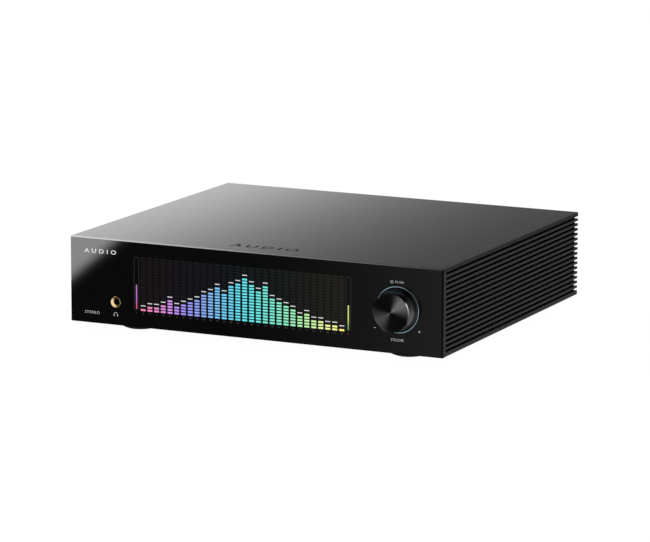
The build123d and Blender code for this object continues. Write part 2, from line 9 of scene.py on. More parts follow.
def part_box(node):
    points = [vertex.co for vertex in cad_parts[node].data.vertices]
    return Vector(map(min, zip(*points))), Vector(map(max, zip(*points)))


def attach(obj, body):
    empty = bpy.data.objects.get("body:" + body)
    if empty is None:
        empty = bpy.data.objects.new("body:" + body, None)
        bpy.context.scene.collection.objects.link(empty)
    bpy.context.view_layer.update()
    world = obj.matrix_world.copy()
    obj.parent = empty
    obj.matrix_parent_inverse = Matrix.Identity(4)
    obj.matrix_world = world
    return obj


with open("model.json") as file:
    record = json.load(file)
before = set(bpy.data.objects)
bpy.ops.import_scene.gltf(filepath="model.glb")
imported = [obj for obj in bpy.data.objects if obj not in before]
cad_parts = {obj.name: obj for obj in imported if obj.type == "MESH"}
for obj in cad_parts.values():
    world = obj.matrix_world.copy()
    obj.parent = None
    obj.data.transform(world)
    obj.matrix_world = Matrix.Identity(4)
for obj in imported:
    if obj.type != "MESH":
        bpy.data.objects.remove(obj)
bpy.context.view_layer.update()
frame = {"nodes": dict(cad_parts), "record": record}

# A full-width hi-fi converter: black glass front with a bar display, turned volume knob in a ring of
# light, gold headphone socket, finned sides, satin cover and a rear panel of audio sockets.
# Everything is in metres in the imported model's frame: +X right, +Y back, +Z up, floor at z = 0.
# The shapes with thickness come from the frame; this script gives them their looks, adds the display's
# picture and the printing as thin pieces on the glass and the cover, and sets up the studio.

# ---- places from the frame ----
MM = 0.001
GLASS_LOW, GLASS_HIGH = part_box("front_glass")
COVER_LOW, COVER_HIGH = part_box("top_cover")
SIDE_LOW, SIDE_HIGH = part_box("side_panel_right")
RING_LOW, RING_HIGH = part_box("light_ring")
KNOB_LOW, KNOB_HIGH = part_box("volume_knob")
JACK_LOW, JACK_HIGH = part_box("jack_ring")
FRONT_Y = GLASS_LOW.y
BASE_Z = GLASS_LOW.z
KNOB = Vector(((RING_LOW.x + RING_HIGH.x) / 2, FRONT_Y, (RING_LOW.z + RING_HIGH.z) / 2))
JACK = Vector(((JACK_LOW.x + JACK_HIGH.x) / 2, FRONT_Y, (JACK_LOW.z + JACK_HIGH.z) / 2))

# ---- display, millimetres: x from the centre line, height above the underside of the glass ----
COLUMN_COUNT = 30
COLUMN_FIRST_X = -128.1
COLUMN_PITCH = 7.95
TILE_W = 5.6
TILE_H = 1.95
ROW_COUNT = 19
ROW_FIRST_H = 19.2
ROW_PITCH = 3.08
PEAK_H = 0.85
PEAK_LIFT = 3.5
LEVELS = (1, 2, 2, 3, 5, 3, 4, 5, 6, 8, 9, 11, 9, 12, 13, 15, 13, 11, 13, 9, 8, 7, 6, 4, 5, 3, 3, 2, 2, 1)
BANDS = ("20 25 31 40 50 63 80 100 125 160 200 250 315 400 500 "
         "630 800 1k 1.2k 1.6k 2k 2.5k 3.1k 4k 5k 6.3k 8k 10k 12k 16k").split()
METER_X = (-135.9, 109.8)
METER_W = 6.0
METER_LINE_W = 1.3
METER_LOW = 18.6
METER_HIGH = 75.6
METER_LEVEL = 45.7
METER_EDGE = 0.5
METER_GAP = 1.4
NUMBER_H = 15.6
NUMBER_TALL = 1.3
LETTER_TALL = 1.5
FIELD_MARGIN = 0.3

# ---- printing on the glass, millimetres ----
# each word's middle x and height, its width and letter height, and then its spacing and slimming, as shares
FRONT_WORDS = (
    ("AUDIO", -179.0, 77.8, 38.0, 4.6, 1.7, -0.012),
    ("STEREO", -189.2, 11.6, 17.8, 2.8, 1.15, 0.02),
    ("VOLUME", 164.7, 14.6, 14.4, 2.6, 1.15, 0.02),
    ("PUSH", 167.2, 74.7, 9.2, 2.4, 1.15, 0.02),
)
MINUS_AT = (139.6, 25.4)
PLUS_AT = (189.4, 25.4)
POWER_AT = (158.6, 74.7)
PHONES_AT = (-160.9, 11.6)

# ---- lettering on the cover, millimetres: how far behind the front, its width and its letter height ----
COVER_WORD_BACK = 29
COVER_WORD_W = 79
COVER_WORD_TALL = 12

# ---- the volume knob and its ring, millimetres ----
FACE_DEPTH = 0.05       # the turned face, and then the bright-cut edge, end this far behind the knob's front
EDGE_DEPTH = 0.88
CROWN = 0.15            # how far the face's normals lean outward
RING_LINE_R = 23.9
RING_LINE_HALF = (0.10, 0.32)

# ---- thin layers on the glass and the cover ----
FIELD_T = 0.03 * MM
TILE_T = 0.06 * MM
PRINT_T = 0.06 * MM
COVER_PRINT_T = 0.004 * MM


def srgb(red, green, blue):
    """Display values from 0 to 255 as the linear colour that nodes take."""
    def linear(value):
        share = value / 255
        return share / 12.92 if share <= 0.04045 else ((share + 0.055) / 1.055) ** 2.4
    return (linear(red), linear(green), linear(blue), 1.0)


def grey(value):
    return (value, value, value, 1.0)


# ---- camera: the viewing angle is to the right of the front and a little above ----
AIM = Vector((-0.0003, -0.0025, 0.0512))
AZIMUTH = math.radians(25.4547)
ELEVATION = math.radians(11.0730)
ROLL = math.radians(0.1276)
DISTANCE = 4.1
LENS = 211.03


def make_camera():
    data = bpy.data.cameras.new("camera")
    data.lens = LENS
    data.sensor_width = 36.0
    data.clip_start = 0.05
    data.clip_end = 60.0
    camera = bpy.data.objects.new("camera", data)
    bpy.context.scene.collection.objects.link(camera)
    back = Vector((math.sin(AZIMUTH) * math.cos(ELEVATION), -math.cos(AZIMUTH) * math.cos(ELEVATION),
                   math.sin(ELEVATION)))
    across = Vector((0, 0, 1)).cross(back).normalized()
    up = back.cross(across)
    rolled_across = across * math.cos(ROLL) + up * math.sin(ROLL)
    rolled_up = back.cross(rolled_across)
    turn = Matrix((rolled_across, rolled_up, back)).transposed()
    camera.matrix_world = Matrix.Translation(AIM + back * DISTANCE) @ turn.to_4x4()
    bpy.context.scene.camera = camera


make_camera()
bpy.context.scene.view_settings.view_transform = "Standard"


# ---- node trees ----
class Nodes:
    """A node tree in the making. Inputs are given as numbers, colours or another node's output."""

    def __init__(self, owner, place):
        owner.use_nodes = True
        self.tree = owner.node_tree
        self.tree.nodes.clear()
        self.place = self.node("TexCoord").outputs[place]

    def node(self, kind, inputs=None, **settings):
        made = self.tree.nodes.new("ShaderNode" + kind)
        for key, value in settings.items():
            setattr(made, key, value)
        for key, value in (inputs or {}).items():
            self.feed(made.inputs[key], value)
        return made

    def feed(self, socket, value):
        if isinstance(value, bpy.types.NodeSocket):
            self.tree.links.new(value, socket)
        else:
            socket.default_value = value

    def math(self, operation, first, second=0.0, third=0.0):
        inputs = {0: first, 1: second, 2: third}
        return self.node("Math", inputs, operation=operation).outputs[0]

    def axis(self, letter):
        return self.node("SeparateXYZ", {0: self.place}).outputs[letter]

    def noise(self, scale, detail=2.0, stretch=(1, 1, 1)):
        spot = self.node("Mapping", {"Vector": self.place, "Scale": stretch}).outputs[0]
        inputs = {"Vector": spot, "Scale": scale, "Detail": detail}
        return self.node("TexNoise", inputs).outputs[0]

    def span(self, value, low, high, to_low=0.0, to_high=1.0, smooth=False):
        kind = "SMOOTHSTEP" if smooth else "LINEAR"
        inputs = {"Value": value, "From Min": low, "From Max": high, "To Min": to_low, "To Max": to_high}
        return self.node("MapRange", inputs, interpolation_type=kind).outputs[0]

    def ramp(self, share, stops):
        made = self.node("ValToRGB", {0: share})
        marks = made.color_ramp.elements
        marks[0].position, marks[0].color = stops[0]
        marks[1].position, marks[1].color = stops[-1]
        for position, colour in stops[1:-1]:
            marks.new(position).color = colour
        return made.outputs[0]

    def blend(self, share, first, second):
        inputs = {0: share, 6: first, 7: second}
        return self.node("Mix", inputs, data_type="RGBA").outputs[2]


class Look(Nodes):
    """A material in the making."""

    def __init__(self, name):
        self.material = bpy.data.materials.new(name)
        super().__init__(self.material, "Object")

    def bump(self, height, distance, strength=1.0):
        return self.node("Bump", {"Height": height, "Distance": distance, "Strength": strength}).outputs[0]

    def surface(self, shader):
        out = self.node("OutputMaterial")
        self.tree.links.new(shader, out.inputs["Surface"])
        return self.material

    def principled(self, **inputs):
        named = {key.replace("_", " "): value for key, value in inputs.items()}
        return self.node("BsdfPrincipled", named).outputs[0]

    def from_knob(self):
        """The way from the knob's middle to the point that is being shaded."""
        return self.node("VectorMath", {0: self.place, 1: KNOB}, operation="SUBTRACT").outputs[0]

    def turn_round_knob(self):
        """Its angle about the knob's axis, anticlockwise from +X as seen from the front."""
        part = self.node("SeparateXYZ", {0: self.from_knob()}).outputs
        return self.math("ARCTAN2", part["Z"], part["X"])


def plain_look(name, dark, light, rough, metal=0.0, grain=700.0, depth=0.02 * MM, cloud=25.0, spread=0.08,
               stretch=(1, 1, 1), **extra):
    """Colour drifts between two tones, roughness wanders a little, and fine grain is a bump."""
    look = Look(name)
    drift = look.noise(cloud, 4.0, stretch)
    fine = look.noise(grain, 3.0, stretch)
    colour = look.ramp(drift, [(0.3, dark), (0.7, light)])
    roughness = look.span(fine, 0.2, 0.8, rough - spread, rough + spread)
    normal = look.bump(fine, depth)
    return look.surface(look.principled(Base_Color=colour, Metallic=metal, Roughness=roughness,
                                        Normal=normal, **extra))


def glass_gloss(look, body, emission=None, strength=0.0):
    """Polished glass over an opaque layer, which may shine through."""
    sweep = look.noise(9.0, 3.0)
    roughness = look.span(sweep, 0.3, 0.7, 0.010, 0.016)
    inputs = {"Base_Color": body, "Roughness": roughness, "IOR": 1.5}
    if emission is not None:
        inputs["Emission_Color"] = emission
        inputs["Emission_Strength"] = strength
    return look.principled(**inputs)


def glass_black():
    look = Look("glass_black")
    tint = look.ramp(look.noise(14.0), [(0.3, grey(0.0018)), (0.7, grey(0.0026))])
    return look.surface(glass_gloss(look, tint))


def column_share(look):
    """0 at the first column and 1 at the last."""
    first = COLUMN_FIRST_X * MM
    return look.span(look.axis("X"), first, first + (COLUMN_COUNT - 1) * COLUMN_PITCH * MM)


RAINBOW = [
    (0.00, srgb(244, 138, 172)),
    (0.10, srgb(222, 142, 214)),
    (0.22, srgb(152, 142, 246)),
    (0.33, srgb(134, 178, 240)),
    (0.43, srgb(106, 208, 240)),
    (0.53, srgb(98, 226, 232)),
    (0.64, srgb(118, 232, 212)),
    (0.74, srgb(144, 236, 188)),
    (0.82, srgb(182, 240, 170)),
    (0.92, srgb(234, 246, 160)),
    (1.00, srgb(252, 240, 132)),
]


def lit_tiles():
    look = Look("lit_tiles")
    hue = look.ramp(column_share(look), RAINBOW)
    cell = look.span(look.noise(420.0), 0.3, 0.7, 1.0, 1.12)
    return look.surface(glass_gloss(look, grey(0.002), hue, cell))


def unlit_tiles():
    look = Look("unlit_tiles")
    glow = look.ramp(column_share(look), [
        (0.0, srgb(27, 21, 23)), (0.25, srgb(24, 23, 27)), (0.45, srgb(21, 26, 29)),
        (0.65, srgb(23, 30, 28)), (0.85, srgb(29, 30, 26)), (1.0, srgb(34, 31, 26))])
    cell = look.span(look.noise(300.0), 0.3, 0.7, 0.75, 0.95)
    return look.surface(glass_gloss(look, grey(0.002), glow, cell))


def screen_field():
    look = Look("screen_field")
    glow = look.ramp(column_share(look), [
        (0.0, srgb(16, 10, 14)), (0.4, srgb(11, 12, 17)), (0.7, srgb(12, 16, 15)), (1.0, srgb(19, 18, 13))])
    cell = look.span(look.noise(60.0), 0.3, 0.7, 0.55, 0.8)
    return look.surface(glass_gloss(look, grey(0.002), glow, cell))


def peak_white():
    look = Look("peak_white")
    cell = look.span(look.noise(400.0), 0.3, 0.7, 0.8, 0.95)
    return look.surface(glass_gloss(look, grey(0.002), srgb(246, 246, 250), cell))


def meter_line(name, low, high):
    """A level line that changes hue on its way up."""
    look = Look(name)
    share = look.span(look.axis("Z"), BASE_Z + METER_LOW * MM, BASE_Z + METER_LEVEL * MM)
    hue = look.ramp(share, [(0.0, low), (0.2, low), (0.45, high), (1.0, high)])
    return look.surface(glass_gloss(look, grey(0.002), hue, 1.0))


def dim_print(name, level):
    look = Look(name)
    cell = look.span(look.noise(500.0), 0.3, 0.7, 0.8, 1.0)
    return look.surface(glass_gloss(look, grey(0.002), srgb(level, level, level), cell))


def white_print_with_painted_glow():
    look = Look("white_print_with_painted_glow")
    ink = look.ramp(look.noise(900.0, 3.0), [(0.3, grey(0.62)), (0.7, grey(0.74))])
    # painted glow: the ink gives off light of its own, on top of the light it takes
    return look.surface(look.principled(Base_Color=ink, Roughness=0.45, Emission_Color=grey(0.5),
                                        Emission_Strength=0.45))


def symbol_print_with_painted_glow():
    look = Look("symbol_print_with_painted_glow")
    ink = look.ramp(look.noise(900.0, 3.0), [(0.3, grey(0.5)), (0.7, grey(0.6))])
    # painted glow: the ink gives off light of its own, on top of the light it takes
    return look.surface(look.principled(Base_Color=ink, Roughness=0.45, Emission_Color=grey(0.5),
                                        Emission_Strength=0.25))


def dark_print():
    look = Look("dark_print")
    ink = look.ramp(look.noise(700.0, 3.0), [(0.3, grey(0.004)), (0.7, grey(0.008))])
    return look.surface(look.principled(Base_Color=ink, Roughness=0.6, Specular_IOR_Level=0.15))


def cover_black():
    """Fine bead-blasted anodising, smooth enough to carry a soft reflection at a low angle."""
    look = Look("cover_black")
    drift = look.noise(6.0, 3.0)
    blast = look.noise(2600.0, 2.0)
    colour = look.ramp(drift, [(0.3, grey(0.018)), (0.7, grey(0.021))])
    roughness = look.span(blast, 0.2, 0.8, 0.2, 0.24)
    return look.surface(look.principled(Base_Color=colour, Roughness=roughness, IOR=1.5,
                                        Normal=look.bump(blast, 0.003 * MM, 0.6)))


def anodised_black():
    """Extruded and anodised: faint lines along the extrusion, and painted shade down in the grooves, which
    makes them darker and less reflective.
    """
    look = Look("anodised_black")
    lines = look.noise(900.0, 3.0, (1, 0.02, 1))
    outward = look.math("ABSOLUTE", look.axis("X"))
    # painted shade: colour and reflection fall off from the fin tips down into the grooves
    depth = look.span(outward, SIDE_HIGH.x - 2.6 * MM, SIDE_HIGH.x - 0.4 * MM, smooth=True)
    groove_shaded_colour = look.blend(depth, grey(0.0008), look.ramp(lines, [(0.3, grey(0.026)), (0.7, grey(0.031))]))
    roughness = look.span(lines, 0.2, 0.8, 0.42, 0.5)
    level = look.span(depth, 0, 1, 0.05, 0.5)
    return look.surface(look.principled(Base_Color=groove_shaded_colour, Roughness=roughness, Specular_IOR_Level=level,
                                        Normal=look.bump(lines, 0.01 * MM, 0.5)))


def foot_black():
    return plain_look("foot_black", grey(0.016), grey(0.024), 0.32, 0.3, grain=1500.0, depth=0.004 * MM)


def knob_black():
    """Gloss black sides, a bright-cut edge and a face turned in fine circles, which fan highlights out."""
    look = Look("knob_black")
    depth = look.math("SUBTRACT", look.axis("Y"), KNOB_LOW.y)
    on_face = look.math("LESS_THAN", depth, FACE_DEPTH * MM)
    on_edge = look.math("LESS_THAN", depth, EDGE_DEPTH * MM)
    flat = look.node("VectorMath", {0: look.from_knob(), 1: (1, 0, 1)}, operation="MULTIPLY").outputs[0]
    reach = look.node("VectorMath", {0: flat}, operation="LENGTH").outputs["Value"]
    outward = look.node("VectorTransform", {0: flat}, convert_from="OBJECT", convert_to="WORLD").outputs[0]
    outward = look.node("VectorMath", {0: outward}, operation="NORMALIZE").outputs[0]
    normal = look.node("NewGeometry").outputs["Normal"]
    crown = look.node("VectorMath", {0: outward, "Scale": CROWN}, operation="SCALE").outputs[0]
    crowned = look.node("VectorMath", {0: normal, 1: crown}, operation="ADD").outputs[0]
    crowned = look.node("VectorMath", {0: crowned}, operation="NORMALIZE").outputs[0]
    rings = look.node("TexNoise", {"W": look.math("MULTIPLY", reach, 9000.0), "Scale": 1.0, "Detail": 3.0},
                      noise_dimensions="1D").outputs[0]
    face = look.principled(Base_Color=look.ramp(rings, [(0.3, grey(0.20)), (0.7, grey(0.25))]), Metallic=1.0,
                           Roughness=0.35, Anisotropic=1.0, Tangent=outward, Normal=crowned)
    edge = look.principled(Base_Color=grey(0.34), Metallic=1.0, Roughness=0.14)
    side_rough = look.span(look.noise(800.0), 0.3, 0.7, 0.14, 0.2)
    side = look.principled(Base_Color=grey(0.0015), Roughness=side_rough, IOR=1.5)
    rim = look.node("MixShader", {0: on_edge, 1: side, 2: edge}).outputs[0]
    both = look.node("MixShader", {0: on_face, 1: rim, 2: face}).outputs[0]
    return look.surface(both)


def ring_light():
    """A narrow line of light in a dark guide, brighter where the lamps behind it are."""
    look = Look("ring_light")
    part = look.node("SeparateXYZ", {0: look.from_knob()}).outputs
    reach = look.math("SQRT", look.math("ADD", look.math("MULTIPLY", part["X"], part["X"]),
                                        look.math("MULTIPLY", part["Z"], part["Z"])))
    level = look.ramp(look.span(look.turn_round_knob(), -math.pi, math.pi), [
        (0.0, grey(0.10)), (0.22, grey(0.10)), (0.27, grey(0.75)), (0.31, grey(1.0)), (0.40, grey(0.7)),
        (0.50, grey(0.9)), (0.56, grey(0.28)), (0.66, grey(0.22)), (0.72, grey(0.8)), (0.84, grey(1.0)),
        (0.90, grey(0.25)), (1.0, grey(0.10))])
    off_line = look.math("ABSOLUTE", look.math("SUBTRACT", reach, RING_LINE_R * MM))
    line = look.span(off_line, RING_LINE_HALF[0] * MM, RING_LINE_HALF[1] * MM, 1.0, 0.01)
    strength = look.math("MULTIPLY", look.math("MULTIPLY", level, line), 1.05)
    return look.surface(look.principled(Base_Color=grey(0.01), Roughness=0.2,
                                        Emission_Color=srgb(164, 202, 216), Emission_Strength=strength))


def gold():
    look = Look("gold")
    wear = look.noise(120.0, 2.0)
    colour = look.ramp(wear, [(0.3, srgb(232, 202, 146)), (0.7, srgb(242, 216, 164))])
    roughness = look.span(wear, 0.2, 0.8, 0.22, 0.28)
    return look.surface(look.principled(Base_Color=colour, Metallic=1.0, Roughness=roughness))


def board_green():
    """Solder mask with raised tracks under it and small tinned pads."""
    look = Look("board_green")
    tracks = look.node("TexBrick", {"Vector": look.place, "Scale": 60.0, "Mortar Size": 0.03,
                                    "Color1": grey(0.0), "Color2": grey(0.15),
                                    "Mortar": grey(1.0)}).outputs[0]
    pads = look.node("TexVoronoi", {"Vector": look.place, "Scale": 160.0}).outputs["Distance"]
    pad = look.math("LESS_THAN", pads, 0.13)
    mask = look.blend(tracks, srgb(12, 66, 40), srgb(20, 92, 54))
    colour = look.blend(pad, mask, srgb(186, 184, 176))
    return look.surface(look.principled(Base_Color=colour, Metallic=look.math("MULTIPLY", pad, 0.9),
                                        Roughness=0.34, Normal=look.bump(tracks, 0.04 * MM)))


def winding_tape():
    """Overlapping turns of tape round the core."""
    look = Look("winding_tape")
    wave = look.node("TexWave", {"Vector": look.place, "Scale": 55.0, "Distortion": 1.4},
                     bands_direction="DIAGONAL").outputs["Fac"]
    colour = look.ramp(wave, [(0.2, srgb(176, 140, 48)), (0.8, srgb(214, 178, 84))])
    return look.surface(look.principled(Base_Color=colour, Roughness=0.38,
                                        Normal=look.bump(wave, 0.2 * MM)))


def screen_cell():
    return plain_look("screen_cell", grey(0.004), grey(0.006), 0.12, spread=0.03)


LOOKS = {
    "glass_black": glass_black(),
    "anodised_black": anodised_black(),
    "cover_black": cover_black(),
    "knob_black": knob_black(),
    "ring_light": ring_light(),
    "screen": screen_cell(),
    "backlight": plain_look("backlight", srgb(214, 216, 222), srgb(230, 232, 236), 0.4),
    "sheet_steel": plain_look("sheet_steel", grey(0.42), grey(0.56), 0.34, 1.0, stretch=(1, 0.04, 1)),
    "chassis_black": plain_look("chassis_black", grey(0.018), grey(0.024), 0.5, grain=1500.0,
                                depth=0.03 * MM),
    "board_green": board_green(),
    "plastic_black": plain_look("plastic_black", grey(0.016), grey(0.022), 0.42, grain=1800.0,
                                depth=0.01 * MM),
    "plastic_gloss": plain_look("plastic_gloss", grey(0.012), grey(0.016), 0.16, spread=0.04),
    "led_white": plain_look("led_white", srgb(236, 236, 220), srgb(250, 250, 240), 0.25),
    "zinc": plain_look("zinc", grey(0.36), grey(0.46), 0.3, 1.0, grain=1300.0, depth=0.006 * MM),
    "gold": gold(),
    "rubber": plain_look("rubber", grey(0.014), grey(0.022), 0.75, grain=1200.0, depth=0.04 * MM),
    "screw_black": plain_look("screw_black", grey(0.02), grey(0.035), 0.3, 0.6, spread=0.06),
    "winding_tape": winding_tape(),
    "capacitor_sleeve": plain_look("capacitor_sleeve", srgb(22, 26, 40), srgb(34, 40, 60), 0.25),
    "sink_black": plain_look("sink_black", grey(0.02), grey(0.03), 0.4, 0.4, stretch=(0.05, 1, 1)),
    "relay_case": plain_look("relay_case", srgb(216, 206, 178), srgb(232, 224, 200), 0.35),
    "lead_sleeve": plain_look("lead_sleeve", srgb(110, 30, 24), srgb(140, 40, 30), 0.4),
    "ribbon": plain_look("ribbon", srgb(176, 176, 178), srgb(206, 206, 208), 0.5, stretch=(1, 0.03, 1)),
}
NODE_LOOKS = {"feet": foot_black()}
SLOT_OF = {part["node"]: part["material_slot"] for part in frame["record"]["subparts"]}

for node_name, node_object in frame["nodes"].items():
    node_look = NODE_LOOKS.get(node_name, LOOKS[SLOT_OF[node_name]])
    node_object.data.materials.clear()
    node_object.data.materials.append(node_look)


# ---- pieces ----
def add_piece(name, shape, look, body="chassis"):
    """Turns a bmesh into a piece that rides on a body."""
    bmesh.ops.recalc_face_normals(shape, faces=shape.faces)
    mesh = bpy.data.meshes.new(name)
    shape.to_mesh(mesh)
    shape.free()
    mesh.materials.append(look)
    made = bpy.data.objects.new(name, mesh)
    bpy.context.scene.collection.objects.link(made)
    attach(made, body)
    return made


def add_block(shape, low, high):
    """A closed box between two corners."""
    spots = [(x, y, z) for x in (low[0], high[0]) for y in (low[1], high[1]) for z in (low[2], high[2])]
    corners = [shape.verts.new(spot) for spot in spots]
    for side in ((0, 1, 3, 2), (4, 6, 7, 5), (0, 4, 5, 1), (2, 3, 7, 6), (0, 2, 6, 4), (1, 5, 7, 3)):
        shape.faces.new([corners[i] for i in side])


def add_band(shape, inner, outer, back, front, closed):
    """A band between two outlines of (x, z) points, given thickness along y."""
    rows = []
    for near, far in zip(inner, outer):
        rows.append([shape.verts.new((x, y, z)) for (x, z) in (near, far) for y in (back, front)])
    count = len(rows)
    for i in range(count if closed else count - 1):
        here, following = rows[i], rows[(i + 1) % count]
        for a, b in ((0, 1), (1, 3), (3, 2), (2, 0)):
            shape.faces.new([here[a], here[b], following[b], following[a]])
    if not closed:
        for end in (rows[0], rows[-1]):
            shape.faces.new([end[i] for i in (0, 1, 3, 2)])


def arc(centre_x, centre_z, radius, start, end, count):
    """Points on an arc, angles in degrees anticlockwise from +X."""
    turns = [math.radians(start + (end - start) * i / (count - 1)) for i in range(count)]
    return [(centre_x + radius * math.cos(t), centre_z + radius * math.sin(t)) for t in turns]


def capsule(centre_x, low, high, radius):
    """Outline of an upright slot with round ends."""
    top = arc(centre_x, high - radius, radius, 0, 180, 13)
    bottom = arc(centre_x, low + radius, radius, 180, 360, 13)
    return top + bottom


def height(millimetres):
    return BASE_Z + millimetres * MM


def column_x(index):
    return (COLUMN_FIRST_X + index * COLUMN_PITCH) * MM


def add_tile(shape, column, middle_h, tall, proud):
    """One tile of a column, standing proud of the glass."""
    half_w, half_h = TILE_W / 2 * MM, tall / 2 * MM
    x, z = column_x(column), height(middle_h)
    add_block(shape, (x - half_w, FRONT_Y - proud, z - half_h), (x + half_w, FRONT_Y, z + half_h))


def display():
    """The dark field, its grid of tiles lit up to each column's level, and the peak bars above them."""
    field = bmesh.new()
    edge = (TILE_W / 2 + FIELD_MARGIN) * MM
    add_block(field, (column_x(0) - edge, FRONT_Y - FIELD_T, height(ROW_FIRST_H - TILE_H / 2 - FIELD_MARGIN)),
              (column_x(COLUMN_COUNT - 1) + edge, FRONT_Y,
               height(ROW_FIRST_H + (ROW_COUNT - 1) * ROW_PITCH + TILE_H / 2 + FIELD_MARGIN)))
    add_piece("display_field", field, screen_field())
    lit, unlit, peaks = bmesh.new(), bmesh.new(), bmesh.new()
    for column, level in enumerate(LEVELS):
        for row in range(ROW_COUNT):
            target = lit if row < level else unlit
            add_tile(target, column, ROW_FIRST_H + row * ROW_PITCH, TILE_H, TILE_T)
        top = ROW_FIRST_H + (level - 1) * ROW_PITCH + TILE_H / 2
        add_tile(peaks, column, top + PEAK_LIFT, PEAK_H, TILE_T + FIELD_T)
    add_piece("display_lit_tiles", lit, lit_tiles())
    add_piece("display_unlit_tiles", unlit, unlit_tiles())
    add_piece("display_peak_bars", peaks, peak_white())


def level_meters():
    """A level line in a thin round-ended outline at each end of the display."""
    frames = bmesh.new()
    for x in METER_X:
        outer = capsule(x * MM, height(METER_LOW), height(METER_HIGH), METER_W / 2 * MM)
        inner = capsule(x * MM, height(METER_LOW + METER_EDGE), height(METER_HIGH - METER_EDGE),
                        (METER_W / 2 - METER_EDGE) * MM)
        add_band(frames, inner, outer, FRONT_Y, FRONT_Y - TILE_T, True)
    add_piece("meter_outlines", frames, dim_print("meter_outline", 52))
    hues = {
        "left": (srgb(222, 88, 140), srgb(190, 118, 200)),
        "right": (srgb(120, 170, 96), srgb(216, 226, 120)),
    }
    for x, (side, (low, high)) in zip(METER_X, hues.items()):
        line = bmesh.new()
        half = METER_LINE_W / 2 * MM
        add_block(line, (x * MM - half, FRONT_Y - TILE_T, height(METER_LOW + METER_GAP)),
                  (x * MM + half, FRONT_Y, height(METER_LEVEL)))
        add_piece(f"meter_line_{side}", line, meter_line(f"meter_line_{side}", low, high))


# ---- lettering: generic words and numbers only ----
FACING = {
    "front": Matrix.Rotation(math.radians(90), 4, "X"),
    "top": Matrix.Identity(4),
}


def add_text(shape, words, middle, width, tall, facing, thick=PRINT_T, spacing=1.0, slim=0.0):
    """Thin solid letters, fitted to a width and a height, with their back on the surface at middle."""
    curve = bpy.data.curves.new("letters", "FONT")
    curve.body = words
    curve.space_character = spacing
    curve.extrude = 0.5
    curve.offset = -slim
    curve.resolution_u = 3
    holder = bpy.data.objects.new("letters", curve)
    bpy.context.scene.collection.objects.link(holder)
    bpy.context.view_layer.update()
    mesh = bpy.data.meshes.new_from_object(holder)
    low = Vector([min(v.co[i] for v in mesh.vertices) for i in range(3)])
    high = Vector([max(v.co[i] for v in mesh.vertices) for i in range(3)])
    size = high - low
    across = width / size.x if width else tall / size.y
    scale = Matrix.Diagonal((across, tall / size.y, thick / size.z, 1.0))
    start = Matrix.Translation(-(low + high) / 2)
    lift = Matrix.Translation((0, 0, thick / 2))
    mesh.transform(Matrix.Translation(middle) @ FACING[facing] @ lift @ scale @ start)
    shape.from_mesh(mesh)
    bpy.data.objects.remove(holder)
    bpy.data.curves.remove(curve)
    bpy.data.meshes.remove(mesh)


def front_spot(x, h):
    return Vector((x * MM, FRONT_Y, height(h)))


def front_words():
    words = bmesh.new()
    for word, x, h, width, tall, spacing, slim in FRONT_WORDS:
        add_text(words, word, front_spot(x, h), width * MM, tall * MM, "front", spacing=spacing, slim=slim)
    add_piece("front_lettering", words, white_print_with_painted_glow())


def front_symbols():
    """Minus and plus beside the knob, a power sign above it and headphones below the socket."""
    marks = bmesh.new()
    near = FRONT_Y - PRINT_T
    minus, plus, power, phones = (front_spot(*spot) for spot in (MINUS_AT, PLUS_AT, POWER_AT, PHONES_AT))
    long, thin = 1.15 * MM, 0.22 * MM
    for sign in (minus, plus):
        add_block(marks, (sign.x - long, near, sign.z - thin), (sign.x + long, FRONT_Y, sign.z + thin))
    for low, high in ((-long, -thin), (thin, long)):
        add_block(marks, (plus.x - thin, near, plus.z + low), (plus.x + thin, FRONT_Y, plus.z + high))

    inner, outer = (arc(power.x, power.z, radius * MM, 125, 415, 24) for radius in (1.25, 1.6))
    add_band(marks, inner, outer, FRONT_Y, near, False)
    add_block(marks, (power.x - 0.18 * MM, near, power.z + 0.2 * MM),
              (power.x + 0.18 * MM, FRONT_Y, power.z + 1.7 * MM))

    inner, outer = (arc(phones.x, phones.z, radius * MM, 0, 180, 20) for radius in (1.95, 2.3))
    add_band(marks, inner, outer, FRONT_Y, near, False)
    for side in (-1, 1):
        cup_x, cup_half = phones.x + side * 2.05 * MM, 0.45 * MM
        add_block(marks, (cup_x - cup_half, near, phones.z - 1.8 * MM),
                  (cup_x + cup_half, FRONT_Y, phones.z - 0.1 * MM))
    add_piece("front_symbols", marks, symbol_print_with_painted_glow())


def display_numbers():
    """Each column's band under it, and a letter under each level meter."""
    numbers = bmesh.new()
    for column, band in enumerate(BANDS):
        spot = Vector((column_x(column), FRONT_Y, height(NUMBER_H)))
        add_text(numbers, band, spot, None, NUMBER_TALL * MM, "front")
    for x, letter in zip(METER_X, "LR"):
        add_text(numbers, letter, front_spot(x, NUMBER_H), None, LETTER_TALL * MM, "front")
    add_piece("display_numbers", numbers, dim_print("display_numbers", 84))


def cover_lettering():
    words = bmesh.new()
    middle = Vector((0, FRONT_Y + COVER_WORD_BACK * MM, COVER_HIGH.z))
    add_text(words, "AUDIO", middle, COVER_WORD_W * MM, COVER_WORD_TALL * MM, "top", thick=COVER_PRINT_T,
             spacing=1.35, slim=-0.02)
    add_piece("cover_lettering", words, dark_print())


# ---- light and floor ----
PROUD_OF_THE_GLASS = ["volume_knob", "jack_ring", "jack_bush"]


